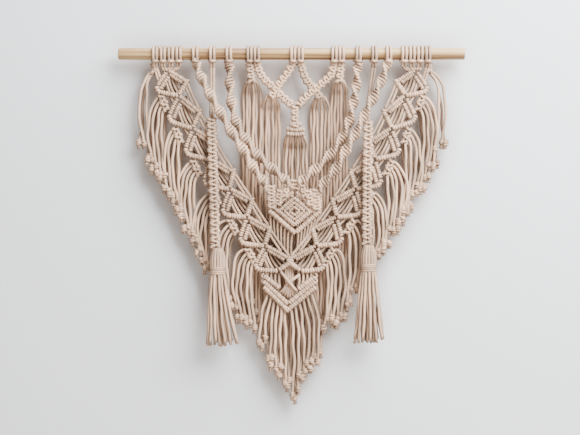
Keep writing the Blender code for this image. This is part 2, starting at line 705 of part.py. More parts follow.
def chevron():
    """Rows of hitches that meet in a point, and the crossing above them."""
    rows = []
    for n, row in enumerate(CHEVRON_ROWS):
        points = along(layer(row, CHEVRON_DEPTH + CHEVRON_LAYER * n), BAR_STEP)
        rows.append(run(points, ridged(points, BAR_RADIUS + BAR_RIDGE, BAR_RADIUS)))
    cross = [run(layer(spots, depth), CROSS_RADIUS)
             for spots, depth in zip(CHEVRON_CROSS, CROSS_LAYERS)]
    fuse("chevron", [sweep(SQUARE, rows[:2]), sweep(SQUARE, rows[2:] + cross)])


def tip_fringe():
    """The longest cords, behind the chevron's lowest row, that end in the point."""
    strip = layer(TIP_ROOTS, TIP_STRIP)
    runs = []
    for n, share in enumerate(spread(TIP_CORDS)):
        root = strip[1].lerp(strip[0] if share < 0 else strip[2], abs(share) * 0.96)
        out = share * TIP_HALF
        end = between(HEM, abs(out)) - END_STAGGER[n % len(END_STAGGER)]
        hang = place(1, out, end, 0)
        falling = Vector((hang.x * 0.8 + root.x * 0.2, FRINGE_DEPTH[n % 2], root.z - TIP_LEVEL))
        runs.append(end_knot([root, falling], end))
    fuse("tip_fringe", [sweep(SQUARE, [run(strip, THIN_STRIP)]), sweep(TRIANGLE, runs)])


clear_scene()
HANGING = make_collection("macrame_wall_hanging")
GUIDES = make_collection("guides")
COTTON_CORD = make_material("cotton_cord", COTTON, 0.9)
SQUARE = make_section("square_section", 4, 1.18)
TRIANGLE = make_section("triangle_section", 3, 1.32)
FLAT = make_section("flat_section", 4, 1.12, SENNIT_FLATNESS)
HEAD = make_section("head_section", 6, 1.06, TASSEL_FLATNESS)

dowel()
lattice()
for side_name, side_sign in (("left", -1), ("right", 1)):
    band(side_sign, f"band_{side_name}")
    hanging_sennit(f"sennit_{side_name}", HANGINGS[side_name])
    tassel(f"tassel_{side_name}", HANGINGS[side_name])
    for group in range(len(CROSSINGS) - 1):
        fringe_group(side_sign, group, f"fringe_{side_name}_{group + 1}")
for spiral_name, shape in SPIRALS.items():
    spiral(spiral_name, shape.side, shape.turn, shape.route)
for curtain_name, curtain_group in CURTAINS.items():
    curtain(curtain_name, curtain_group)
diamond()
diamond_fringe()
chevron()
tip_fringe()
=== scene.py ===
"""The looks of the macrame wall hanging: cords, knots, dowel, light and camera.

Sizes are in millimetres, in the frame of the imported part: +X to the right along
the dowel, +Z up, -Y to the front, origin in the middle of the dowel's axis.
A place is given by "out", the distance from the centre line, and "drop", the
distance below the dowel's axis. "Depth" runs from the front, which is negative,
to the wall. Every point turns into metres when a mesh is made.
"""

import bpy
import math
import numpy as np
from collections import namedtuple
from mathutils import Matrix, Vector


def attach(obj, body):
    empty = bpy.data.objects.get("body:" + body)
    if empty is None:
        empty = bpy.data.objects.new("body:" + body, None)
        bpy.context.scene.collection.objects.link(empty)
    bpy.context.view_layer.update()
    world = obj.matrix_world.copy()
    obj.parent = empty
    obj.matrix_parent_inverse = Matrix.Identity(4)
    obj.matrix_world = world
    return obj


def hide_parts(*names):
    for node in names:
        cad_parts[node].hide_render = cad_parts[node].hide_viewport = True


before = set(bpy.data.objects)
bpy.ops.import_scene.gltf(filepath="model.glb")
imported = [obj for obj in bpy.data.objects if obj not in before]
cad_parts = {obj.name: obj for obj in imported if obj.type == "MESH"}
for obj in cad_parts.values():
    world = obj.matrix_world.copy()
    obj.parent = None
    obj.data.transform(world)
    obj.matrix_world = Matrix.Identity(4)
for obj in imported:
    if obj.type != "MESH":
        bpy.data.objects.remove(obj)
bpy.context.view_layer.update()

MM = 0.001
FRONT = np.array((0.0, -1.0, 0.0))
CHANCE = np.random.default_rng(20)

# --- driving sizes ---
DOWEL_LENGTH = 450.0
DOWEL_RADIUS = 7.5
DOWEL_SIDES = 64
CORD = 1.95  # radius of the 4 mm cotton cord
HELD = 1.7  # radius of the same cord where it is pulled tight
NET_CORD = 1.7  # and where it is drawn across a cell of the net
SIDES = 8  # corners of a cord's section
LOOP_HALF = 2.3  # half the distance between a loop's two cords
HELD_HALF = 1.9  # and the same where they hang on down to a sennit

HITCH_PITCH = 2.9  # one turn of a double half hitch
HITCH_CORE = 1.3  # radius at which the turns lie around the holding cord
HITCH_TURN = 1.85  # radius of a turn
HITCH_SLANT = 0.42
PAIR_THICK = 1.0  # the bars of a pair, a single bar, a row of the chevron
SINGLE_THICK = 1.2
ROW_THICK = 1.2
LATTICE_THICK = 1.08

# A sennit of square knots; its pitch is the length of a full knot.
Sennit = namedtuple("Sennit", "half_width pitch cord")
STRIP_KNOTS = Sennit(5.7, 10.4, 2.1)
CHAIN_KNOTS = Sennit(5.7, 8.4, CORD)
HANGING_KNOTS = Sennit(7.0, 10.6, CORD)
DIAMOND_PITCH, DIAMOND_CORD = 8.4, 1.65
KNOT_RISE = 1.75  # how far behind the path a cord crosses, in radii; in front, 3/4 of that
KNOT_UNEVEN = 0.35
SIDE_RUN = 0.36  # it runs on faster by this share at the sides

BAND_BACK = 15.0  # the net's inner corner lies this far back from a crossing
BAND_INNER = 16.0  # and this far towards the centre line
BAND_TOP_AXIS = (-0.28, 0.96)  # the way the band starts: inward, and down

SPIRAL_KNOT = 4.5  # one half knot of a spiral
SPIRAL_HALF = 4.9  # half width and half depth of its two knotting cords
SPIRAL_DEEP = 1.9
SPIRAL_CORD, SPIRAL_CORE = 1.9, 1.8  # radii of its knotting cords and of its core

FRINGE_DEPTH = (-0.6, 9.8)  # the front row and the back row of fringe cords
FRINGE_SWAY = 1.1  # how far a hanging cord wanders from straight
FRINGE_RAGGED = (-10.0, 5.0)  # how far above or below the hem a pair ends
PAIR_APART = 2.6  # two cords whose end knots lie side by side
KNOT_HALF = 4.0  # half height of an overhand knot at a cord's end
TAIL = 4.0  # frayed tail below it

CURTAIN_DEPTH = 15.0
CURTAIN_STEP = 2.4  # every second cord hangs this much nearer the front
CURTAIN_SHORT = 22.0  # how far above the hem the longest cord ends
CURTAIN_RAGGED = 16.0  # how much shorter the others may be
CURTAIN_SWAY = 0.9

TIP_CORDS = 24
TIP_BUNCH = 3  # cords whose end knots hang together
TIP_BUNCH_APART = 3.4
TIP_BUNCH_STEPS = (0.0, 6.0, -4.0)  # how much lower each cord of a bunch ends
TIP_INNER, TIP_REACH = 2.6, 39.0  # its innermost cord, and the reach of the rest
TIP_HEM_REACH = 41.0  # half the width of its hem
TIP_SWAY = 1.2

TASSEL_DEPTH = -12.6
TASSEL_FLAT = 0.68  # a tassel's depth as a share of its width
TASSEL_HEAD_CORDS = 15
TASSEL_WRAPS, WRAP_PITCH = 4, 2.35
WRAP_DROP, SKIRT_DROP = 25.4, 33.4  # below the top of its head
SKIRT_LENGTH = 90.0

# Painted shade: cords that lie further back are painted darker, standing in for the shade between the
# cords.
TONE_FRONT, TONE_REACH = -3.4, 9.5
DEPTH_SHADE = 1.35

# --- tables ---
Place = namedtuple("Place", "out drop")
Route = namedtuple("Route", "out drop depth")
Spot = namedtuple("Spot", "x drop")
Sway = namedtuple("Sway", "drop shift")


def table(kind, *rows):
    """Rows of one kind, each written as the numbers of its columns."""
    return [kind(*row) for row in rows]


def tables(kind, *groups):
    return [table(kind, *rows) for rows in groups]


CROSSINGS = table(
    Place,
    (161.6, 20.5), (147.7, 53.7), (129.6, 96.2), (107.5, 135.9),
    (82.5, 174.9), (59.0, 211.4), (34.2, 248.7), (15.2, 281.5),
)
HEM = table(
    Place,
    (0, 458), (6, 450), (12, 434), (20, 416), (28, 408), (38, 396), (45, 374),
    (50, 358), (64, 351), (76, 333), (100, 294), (113, 272), (128, 246),
    (140, 229), (156, 200), (171, 172), (183, 152), (191, 132), (200, 117),
)
# How far the centre line has moved to the right at each drop.
SWAY = table(
    Sway, (0, 0), (180, 1.5), (245, -1.0), (285, -2.8), (335, -3.6), (460, -0.6),
)
LATTICE_LOOPS = (-54.5, -45.1, 2.0, 11.8, 55.5, 64.9)
FIRST_STRIP = (Place(178.6, 13.0), Place(178.4, 25.0))
LAST_CORNER = np.array((1.0, 265.5))
Strip = namedtuple("Strip", "on outward")
EDGE_STRIP = (Strip(-9.0, 20.4), Strip(12.5, 22.0))

# Where each group of fringe cords hangs, from its outermost cord to its innermost.
Hang = namedtuple("Hang", "outermost innermost cords")
FRINGE_GROUPS = table(
    Hang,
    (198.0, 190.0, 3), (187.0, 167.0, 8), (166.0, 145.0, 8),
    (149.0, 126.0, 9), (126.0, 103.0, 9), (99.0, 77.0, 8),
    (72.0, 49.0, 9),
)

# How a fringe cord leaves its strip: shares of its reach outward and of its fall.
# The outermost cords of the two lowest groups leave in the higher arc.
Arc = namedtuple("Arc", "along down")
LOW_ARC = table(Arc, (0.0, 0.0), (0.32, 0.13), (0.64, 0.38), (0.9, 0.76), (1.02, 1.25))
HIGH_ARC = table(Arc, (0.0, 0.0), (0.42, 0.07), (0.78, 0.32), (0.97, 0.76), (1.02, 1.25))

# The net between two crossings. "On" runs from one crossing to the next, on a stretch
# of NET_LENGTH, and "outward" away from the centre line; depth is to the wall.
NetSpot = namedtuple("NetSpot", "on outward depth")
NET_LENGTH = 45.0
OUTER_BARS = tables(
    NetSpot,
    ((3.8, 3.0, -0.6), (10.5, 11.4, -1.0), (17.4, 19.4, -0.6)),
    ((11.0, 2.4, -0.6), (17.6, 10.0, -1.0), (24.4, 17.4, -0.6)),
)
INNER_BARS = tables(
    NetSpot,
    ((2.0, -1.5, 0.2), (15.0, -8.8, -0.4), (28.6, -16.2, 0.2)),
    ((8.0, -0.8, 0.8), (18.0, -5.8, 0.6), (28.0, -11.0, 0.8)),
)
SINGLE_BARS = tables(
    NetSpot,
    ((18.6, 21.6, 0.0), (26.0, 21.8, -0.4), (31.4, 17.8, -0.8), (45.0, 1.0, -0.8)),
    ((27.4, -18.2, 0.4), (31.0, -17.4, 0.0), (34.6, -12.6, -0.6), (44.0, -1.5, 0.0)),
)
NET_STRANDS = tables(
    NetSpot,
    ((15.6, 7.4, 0.6), (26.0, 8.4, -0.2), (36.5, 9.0, 0.4)),
    ((13.0, 3.4, 0.6), (26.5, 4.6, -0.2), (39.6, 4.4, 0.6)),
    ((12.0, -1.0, 3.0), (27.0, 0.2, 4.4), (42.0, -1.0, 3.0)),
    ((16.0, -5.2, 3.2), (27.0, -4.2, 4.8), (40.0, -5.0, 3.2)),
    ((20.0, -9.6, 3.4), (29.0, -8.8, 5.2), (37.5, -9.2, 3.4)),
    ((20.0, 15.6, 3.4), (28.0, 13.6, 6.4), (36.0, 11.6, 4.4)),
    ((6.0, -3.0, 5.0), (24.0, -12.4, 8.0), (35.0, -12.4, 5.0)),
    ((4.0, 6.0, 5.0), (24.0, 2.4, 8.4), (44.0, -4.4, 5.0)),
    ((4.0, -9.0, 5.0), (20.0, -1.6, 8.4), (44.0, 4.4, 5.0)),
)
# Strands past a crossing, from a spot on one stretch to a spot on the next.
PASSING_STRANDS = tables(
    NetSpot,
    ((36.0, 10.6, 0.6), (8.6, 8.6, 0.6)),
    ((40.2, 6.2, 1.0), (6.6, 4.6, 1.0)),
    ((31.0, -17.4, -0.4), (26.0, -18.0, -0.4)),
    ((33.0, -13.6, 0.2), (17.0, -13.0, 0.2)),
)
# The pairs that fan out below the dowel, and where each enters the net.
Fan = namedtuple("Fan", "loop_out goal")
FANS = (
    Fan(146.3, NetSpot(6.0, -5.5, 1.0)), Fan(156.4, NetSpot(1.5, -0.5, 0.4)),
    Fan(166.6, NetSpot(1.0, 2.5, 0.0)), Fan(176.8, NetSpot(14.0, 15.0, 1.0)),
)

# The route of a spiral is the row of its beads, the places where it faces the front,
# and its end.
Spiral = namedtuple("Spiral", "side turn loop_out route")
SPIRALS = {
    "spiral_left_outer": Spiral(-1, -1, 124.9, table(
        Route, (123.4, 12.0, -3.5), (116.6, 31.2, -7.0), (104.7, 54.3, -12.0),
        (91.9, 76.7, -12.6), (77.7, 102.2, -12.6), (62.8, 124.5, -12.6),
        (50.2, 147.2, -11.5), (37.0, 165.0, -9.0), (29.5, 177.0, -8.0))),
    "spiral_left_inner": Spiral(-1, -1, 81.3, table(
        Route, (80.2, 14.8, -2.0), (80.0, 38.0, -2.0), (77.7, 63.3, -2.5),
        (71.8, 88.7, -2.5), (59.8, 111.2, -2.5), (43.6, 132.0, -3.0),
        (25.5, 148.7, -6.0), (7.7, 164.0, -8.5), (1.0, 170.0, -8.5))),
    "spiral_right_inner": Spiral(1, 1, 86.8, table(
        Route, (85.6, 16.3, -2.0), (83.9, 41.5, -2.0), (80.7, 61.9, -2.5),
        (75.3, 87.0, -2.5), (65.8, 109.0, -2.5), (50.0, 131.3, -3.0),
        (29.5, 151.5, -6.0), (13.2, 165.0, -8.5), (6.5, 170.0, -8.5))),
    "spiral_right_outer": Spiral(1, 1, 126.1, table(
        Route, (124.4, 13.0, -3.5), (116.2, 35.1, -7.0), (105.2, 58.8, -12.0),
        (94.1, 80.0, -12.6), (82.3, 104.5, -12.6), (69.7, 126.5, -12.6),
        (57.1, 150.0, -11.5), (41.8, 168.0, -9.0), (33.5, 181.0, -8.0))),
}

Hanging = namedtuple(
    "Hanging", "loop_x top_x top_drop end_x end_drop tassel_x flare_low flare_high")
HANGINGS = {
    "left": Hanging(-102.7, -103.6, 84.0, -98.2, 251.5, -95.2, -14.0, 26.0),
    "right": Hanging(107.3, 99.0, 88.0, 97.5, 247.5, 99.5, -18.0, 19.0),
}

# The outline of a tassel's head, and the rings of strands in its skirt.
HeadRow = namedtuple("HeadRow", "drop radius")
TASSEL_HEAD = table(
    HeadRow,
    (0.0, 3.6), (3.0, 5.8), (9.0, 7.9), (16.0, 8.9), (22.0, 8.7), (26.0, 7.9), (32.0, 7.6),
)
SkirtRing = namedtuple("SkirtRing", "share strands")
SKIRT_RINGS = table(SkirtRing, (1.0, 13), (0.55, 7), (0.2, 3))

# The square-knot chains of the lattice.
CHAINS = tables(
    Spot,
    ((-54.0, 13), (-53.0, 24), (-51.6, 37)),
    ((-45.1, 12), (-40.5, 26), (-29, 39), (-20.5, 46), (-12, 56), (1.0, 67)),
    ((2.0, 12), (-6.0, 26), (-14.5, 37), (-20.5, 46), (-27, 57)),
    ((11.8, 12), (16.5, 28), (24, 40), (30, 46), (38, 58)),
    ((55.5, 12), (51, 27), (40, 38), (30, 46), (20, 55), (8.5, 67)),
    ((64.2, 13), (63.2, 24), (62.2, 37)),
    ((4.5, 68), (4.6, 82), (4.8, 96)),
)
LATTICE_BARS = tables(
    Spot,
    ((-2.5, 90.6), (5, 92.4), (12.5, 90.6)),
    ((-6.5, 97.4), (5, 98.8), (16.5, 98.0)),
    ((-6.0, 103.4), (5, 104.6), (16.5, 103.8)),
)

# A curtain's cords spread from one knot to the hang columns, then to the low ones.
Curtain = namedtuple(
    "Curtain", "root_x root_half drop hang_left hang_right low_left low_right cords")
CURTAINS = table(
    Curtain,
    (-51.6, 3.6, 35.0, -63.5, -41.0, -65.0, -42.0, 6),
    (-27.0, 3.6, 56.0, -37.5, -15.5, -40.0, -18.0, 6),
    (5.0, 9.0, 106.0, -10.0, 20.0, -16.0, 22.0, 9),
    (38.0, 3.6, 57.0, 25.0, 48.5, 25.0, 46.5, 6),
    (62.2, 3.6, 35.0, 53.0, 73.5, 50.0, 71.0, 6),
)

# The diamond: nested rings, the bars below them, and short square-knot sennits around.
DIAMOND_CENTRE = Spot(3.6, 204.3)
DIAMOND_RINGS = (Spot(19.6, 17.0), Spot(13.0, 11.2), Spot(6.6, 5.6))
DIAMOND_DEPTH = -8.0
DIAMOND_THIN, DIAMOND_THICK = 0.86, 1.14
DIAMOND_CORDS = 7  # front cords that hang from each lower edge
DIAMOND_THREAD = 1.35
DIAMOND_END = 271.0
BEHIND_PAINTED_SHADE = -0.7  # painted shade on the cords between them, which hang further back
DIAMOND_EDGES = tables(
    Spot, ((-29.0, 203.6), (4.2, 232.6)), ((36.4, 204.6), (5.6, 232.0)),
)
DIAMOND_INNER_EDGES = tables(
    Spot,
    ((-26.0, 196.8), (3.6, 223.0)), ((33.4, 197.6), (4.6, 222.4)),
    ((-18.0, 196.5), (1.5, 179.0)), ((25.5, 197.0), (6.5, 179.4)),
)
KnotRow = namedtuple("KnotRow", "top foot half_width")
DIAMOND_SENNITS = table(
    KnotRow,
    ((-26.6, 171.0), (-25.6, 201.5), 6.4),
    ((-15.0, 177.0), (-18.2, 197.0), 5.8),
    ((31.6, 176.0), (33.2, 203.5), 6.4),
    ((21.6, 177.0), (25.0, 198.0), 5.8),
    ((4.0, 163.5), (4.2, 176.5), 7.6),
    ((-6.0, 170.0), (-8.8, 186.0), 4.4),
    ((13.8, 170.0), (16.6, 186.0), 4.4),
)
DIAMOND_SHOULDERS = tables(
    Spot, ((0.3, 174.0), (0.6, 186.0)), ((7.8, 174.0), (7.6, 186.0)),
)

# The rows of hitches above the tip, from the top one down, and the cords across them.
HitchRow = namedtuple("HitchRow", "start end depth")
CHEVRON_ROWS = table(
    HitchRow,
    ((-36.0, 288.9), (-16.6, 303.4), -0.6),
    ((30.3, 289.8), (9.6, 305.6), -0.6),
    ((-36.6, 295.8), (-4.9, 324.8), -1.0),
    ((30.6, 296.0), (-3.2, 323.4), -1.4),
    ((-36.0, 302.6), (-6.6, 331.6), -1.2),
    ((31.0, 303.0), (-7.2, 334.2), -2.0),
)
CHEVRON_CROSS = table(
    HitchRow,
    ((-14.0, 283.0), (6.6, 308.2), -5.0), ((10.6, 286.6), (-8.0, 300.5), -2.6),
)
TIP_SHIFT = 3.5  # the point hangs a little right of the centre line
TIP_ROOTS = (Spot(-35.0, 303.5), Spot(-5.0, 333.0), Spot(31.0, 305.0))

# --- stage, in metres ---
WALL_Y, FLOOR_Z, STAGE_REACH = 0.0205, -0.75, 2.5
WALL_COLOUR = (0.64, 0.648, 0.668)
WALL_PAINTED_SHADE = (0.36, 0.29, 0.25)  # painted shade: the wall's colour where cotton covers most of it
SHADE_REACH = 0.036  # how near that cotton has to be for the painted shade
FLOOR_COLOUR = (0.50, 0.46, 0.42)
ROOM_COLOUR, ROOM_STRENGTH = (1.0, 0.89, 0.80, 1.0), 0.34
Lamp = namedtuple("Lamp", "name location target size power colour")
LAMPS = (
    Lamp("key", (0.72, -0.68, 0.84), (0.02, 0, -0.14), 1.4, 174.0, (0.935, 0.975, 1.0)),
    Lamp("back", (-0.5, 1.6, 0.6), (0, 0, -0.2), 1.2, 40.0, (1.0, 0.98, 0.95)),
)
LENS, SENSOR = 85.0, 36.0  # in millimetres
VIEW_WIDTH = 0.754  # how much of the wall the picture spans
VIEW_X, VIEW_Z = -0.00195, -0.21255


# --- curves ---
def between(rows, key):
    """Look a value up in a table of two columns."""
    columns = np.array(rows, float)
    return float(np.interp(key, columns[:, 0], columns[:, 1]))


def part_way(start, end, share):
    return start + (end - start) * share


def at(x, drop, depth=0.0):
    return np.array((x, depth, -drop), float)


def place(side, out, drop, depth=0.0):
    """A point of the left (-1) or right (+1) half, on the swaying centre line."""
    return at(side * out + between(SWAY, drop), drop, depth)


def lengths(path):
    """The distance along a path at each of its points."""
    steps = np.linalg.norm(np.diff(path, axis=0), axis=1)
    return np.concatenate([[0.0], np.cumsum(steps)])


def smooth(points, step=2.0):
    """Evenly spaced points on a smooth curve through these points."""
    points = np.array(points, float)
    before, after = 2 * points[0] - points[1], 2 * points[-1] - points[-2]
    padded = np.concatenate([[before], points, [after]])
    t = np.linspace(0, 1, 12, endpoint=False)[:, None]
    runs = []
    for a, b, c, d in zip(padded, padded[1:], padded[2:], padded[3:]):
        runs.append(0.5 * (2 * b + (c - a) * t + (2 * a - 5 * b + 4 * c - d) * t ** 2
                           + (3 * b - a - 3 * c + d) * t ** 3))
    curve = np.concatenate([*runs, [padded[-2]]])
    return even(curve, step)


def read_off(values, marks, travelled):
    """Values known at marks along a path, at other places on it."""
    return np.stack([np.interp(travelled, marks, values[:, k]) for k in range(3)], axis=-1)


def even(curve, step):
    """The same curve with points about one step apart."""
    travelled = lengths(curve)
    count = max(2, round(travelled[-1] / step) + 1)
    return read_off(curve, travelled, np.linspace(0, travelled[-1], count))


def unit(vectors):
    return vectors / np.maximum(np.linalg.norm(vectors, axis=-1, keepdims=True), 1e-9)


def riding(path, travelled, roll=0.0):
    """Positions on a path, with the directions along it, across it and out of its face."""
    marks = lengths(path)
    where = read_off(path, marks, travelled)
    onward = unit(read_off(unit(np.gradient(path, axis=0)), marks, travelled))
    across = unit(np.cross(onward, FRONT))
    outward = np.cross(across, onward)
    roll = np.broadcast_to(roll, travelled.shape)[..., None]
    return (where, onward, np.cos(roll) * across + np.sin(roll) * outward,
            np.cos(roll) * outward - np.sin(roll) * across)


def frames(path):
    """Two directions square to a path at each point, turning as little as possible."""
    slope = unit(np.gradient(path, axis=0))
    start = np.cross(slope[0], FRONT)
    if np.linalg.norm(start) < 0.2:
        start = np.cross(slope[0], (1.0, 0.0, 0.0))
    normals = [unit(start)]
    for tangent in slope[1:]:
        carried = normals[-1] - tangent * np.dot(normals[-1], tangent)
        normals.append(carried / np.linalg.norm(carried))
    normals = np.array(normals)
    return normals, np.cross(slope, normals)


def tube_quads(rows, sides, closed):
    row = np.arange(rows if closed else rows - 1)[:, None]
    side = np.arange(sides)[None, :]
    onward, round_on = (row + 1) % rows, (side + 1) % sides
    corners = [row * sides + side, row * sides + round_on,
               onward * sides + round_on, onward * sides + side]
    return np.stack(np.broadcast_arrays(*corners), axis=-1).reshape(-1, 4)


def tube_uv(rows, sides, closed, reach):
    """Turns around the cord and distance along it, for each corner of each quad."""
    count = rows if closed else rows - 1
    row, side = np.arange(count)[:, None], np.arange(sides)[None, :]
    reach = np.append(reach, reach[-1] * rows / (rows - 1)) if closed else reach
    u0, u1 = (np.broadcast_arrays(turn / sides, row)[0] for turn in (side, side + 1))
    v0, v1 = (np.broadcast_arrays(reach[level], side)[0] for level in (row, row + 1))
    corners = [np.stack(pair, axis=-1) for pair in ((u0, v0), (u1, v0), (u1, v1), (u0, v1))]
    return np.stack(corners, axis=2).reshape(-1, 4, 2)


# --- yarn: collects cords and makes one mesh of them ---
class Yarn:
    def __init__(self, depth_shade=0.0):
        """How much darker the points furthest back are painted: a painted shade."""
        self.points, self.quads, self.uvs, self.tones, self.caps = [], [], [], [], []
        self.count = 0
        self.depth_shade = depth_shade

    def add(self, points, quads, uvs, tone=None, caps=()):
        """Add a shape of quads, and caps given as rows of points."""
        tone = CHANCE.uniform(0.0, 1.0) if tone is None else tone
        self.quads.append(quads + self.count)
        self.uvs.append(uvs)
        self.points.append(points)
        self.tones.append(np.full(len(points), tone))
        self.caps += [np.asarray(cap) + self.count for cap in caps]
        self.count += len(points)

    def cord(self, path, radius=CORD, sides=SIDES, tone=None):
        """Sweep a round cord along a path; radius is one number or one for each point."""
        path = np.asarray(path, float)
        normals, binormals = frames(path)
        angle = np.arange(sides) * math.tau / sides
        ring = (np.cos(angle)[None, :, None] * normals[:, None, :]
                + np.sin(angle)[None, :, None] * binormals[:, None, :])
        radii = np.broadcast_to(radius, len(path))
        points = (path[:, None, :] + radii[:, None, None] * ring).reshape(-1, 3)
        start = CHANCE.uniform(0, 50)
        self.tube(points, len(path), sides, start + lengths(path), tone)

    def tube(self, points, rows, sides, reach, tone):
        """Add a tube of rings of points, with a cap at either end."""
        caps = (np.arange(sides)[::-1], (rows - 1) * sides + np.arange(sides))
        self.add(points, tube_quads(rows, sides, False), tube_uv(rows, sides, False, reach), tone, caps)

    def rings(self, where, onward, across, outward, wide, deep, turn, slant, steps=10, sides=6):
        """Closed oval turns around each position, tilted so that they run on across the front.

        wide and deep are the half axes of a turn, and turn is the radius of its cord.
        """
        count = len(where)
        wide, deep, turn, slant = (np.broadcast_to(value, count)[:, None, None]
                                   for value in (wide, deep, turn, slant))
        angle = np.arange(steps) * math.tau / steps
        cos, sin = np.cos(angle)[None, :, None], np.sin(angle)[None, :, None]
        across, outward, onward = across[:, None, :], outward[:, None, :], onward[:, None, :]
        centre = (where[:, None, :] + wide * cos * across + deep * sin * outward
                  + slant * wide * cos * onward)
        radial = unit(cos / wide * across + sin / deep * outward)
        axis = unit(onward - slant * across)
        around = (np.arange(sides) * math.tau / sides)[None, None, :, None]
        section = np.cos(around) * radial[:, :, None, :] - np.sin(around) * axis[:, :, None, :]
        points = centre[:, :, None, :] + turn[..., None] * section
        quads = tube_quads(steps, sides, True)
        size = float(np.mean(wide + deep)) * math.pi
        uvs = tube_uv(steps, sides, True, np.arange(steps) * size / steps)
        for row in points:
            self.add(row.reshape(-1, 3), quads, uvs)

    def build(self, name, *nodes, slot="cotton", material=None):
        """Make the piece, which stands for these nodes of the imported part."""
        mesh = bpy.data.meshes.new(name)
        points = np.concatenate(self.points)
        quads, uvs = np.concatenate(self.quads), np.concatenate(self.uvs)
        caps = [cap.tolist() for cap in self.caps]
        corners = np.concatenate([quads.ravel(), *self.caps]).astype(np.int32)
        sizes = np.array([4] * len(quads) + [len(cap) for cap in caps])
        mesh.vertices.add(len(points))
        mesh.vertices.foreach_set("co", points.ravel() * MM)
        mesh.loops.add(len(corners))
        mesh.loops.foreach_set("vertex_index", corners)
        mesh.polygons.add(len(sizes))
        mesh.polygons.foreach_set("loop_start", np.cumsum(sizes) - sizes)
        mesh.update(calc_edges=True)
        layer = mesh.uv_layers.new(name="cord")
        flat = np.zeros((len(corners), 2))
        flat[:quads.size] = uvs.reshape(-1, 2)
        layer.data.foreach_set("uv", flat.ravel())
        tone = mesh.attributes.new("tone", "FLOAT", "POINT")
        # Painted shade: the tone is lowered on points that lie further back.
        behind = np.clip((points[:, 1] - TONE_FRONT) / TONE_REACH, 0.0, 1.0)
        values = np.concatenate(self.tones) - self.depth_shade * behind
        tone.data.foreach_set("value", values.astype(np.float32))
        mesh.shade_smooth()
        mesh.materials.append(material or COTTON)
        piece = bpy.data.objects.new(name, mesh)
        bpy.context.scene.collection.objects.link(piece)
        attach(piece, "root")
        if nodes:
            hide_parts(*nodes)
        return piece


# --- knots ---
def jitter(amount, count=None):
    """Chance shifts of at most this amount either way."""
    return CHANCE.uniform(-amount, amount, count)


def hitches(yarn, path, thick):
    """A bar: a holding cord covered with double half hitches."""
    total = lengths(path)[-1]
    count = max(2, round(total / (HITCH_PITCH * (0.5 + thick / 2))))
    travelled = (np.arange(count) + 0.5 + 0.1 * (np.arange(count) % 2)) * total / count
    where, onward, across, outward = riding(path, travelled)
    core = HITCH_CORE * thick
    yarn.cord(even(where, 4.0) if count > 3 else where, core, sides=6)
    yarn.rings(where, onward, across, outward,
               core + jitter(0.12, count), core + jitter(0.12, count),
               HITCH_TURN * thick + jitter(0.06, count), HITCH_SLANT + jitter(0.1, count))


def square_knots(yarn, path, half_width, pitch, cord):
    """A flat sennit of square knots: one cord always crosses in front, the other behind."""
    total = lengths(path)[-1]
    halves = max(2, round(total / pitch * 2))
    t = np.linspace(0, halves, halves * 10 + 1)
    travelled = (t + SIDE_RUN * np.sin(math.tau * t) / math.tau) * total / halves
    where, _, across, outward = riding(path, travelled)
    side = np.cos(math.pi * t)
    at_side = np.abs(side) ** 2.4
    reach = half_width - cord
    rise = cord * KNOT_RISE
    uneven = np.interp(t, np.arange(halves + 1), jitter(KNOT_UNEVEN, halves + 1))
    knob = np.sin(math.pi * side) ** 2
    # Each full knot leaves one bump at either side, where its second half begins.
    bulge = 0.12 + 0.3 * (1.0 + side)
    for sign, middle in ((1, 0.75 * rise), (-1, -rise)):
        sideways = sign * side * (reach - 0.7 * at_side) + uneven
        forward = middle * (1 + 0.4 * knob) + (0.4 * rise - middle) * at_side
        yarn.cord(where + across * sideways[:, None] + outward * forward[:, None],
                  cord * (0.82 + bulge * at_side))
    filler, _, aside, _ = riding(path, np.linspace(0, total, max(3, int(total / 4))))
    for sign in (-1, 1):
        yarn.cord(filler + aside * sign * cord - (0, cord * 0.55, 0), cord, sides=6)


def half_knot_spiral(yarn, beads, turn):
    """A sennit of half knots, twisting as it hangs so that it faces front at each bead."""
    path = smooth(beads, 2.0)
    total = lengths(path)[-1]
    marks = lengths(np.array(beads))
    marks *= total / marks[-1]
    count = round(total / SPIRAL_KNOT)
    t = np.linspace(0, count, count * 8 + 1)
    travelled = (t + 0.8 * np.sin(math.tau * t) / math.tau) * total / count
    bead = np.interp(travelled, marks, np.arange(len(marks)) - 1.0)
    roll = turn * math.pi * (bead + 0.02 * np.sin(math.tau * bead))
    where, _, across, outward = riding(path, travelled, roll)
    side = np.cos(math.pi * t)
    uneven = np.interp(t, np.arange(count + 1), jitter(0.3, count + 1))
    sideways = side * (SPIRAL_HALF + 0.8 * side ** 4 + uneven)
    forward = turn * np.sin(math.pi * t) * SPIRAL_DEEP
    for sign in (-1, 1):
        yarn.cord(where + sign * (across * sideways[:, None] + outward * forward[:, None]),
                  SPIRAL_CORD, sides=7)
    yarn.cord(even(path, 4.0), SPIRAL_CORE)


def strand(yarn, radius, step, *rows):
    """A cord through places that are each given as x, drop and depth."""
    yarn.cord(smooth([at(*row) for row in rows], step), radius)


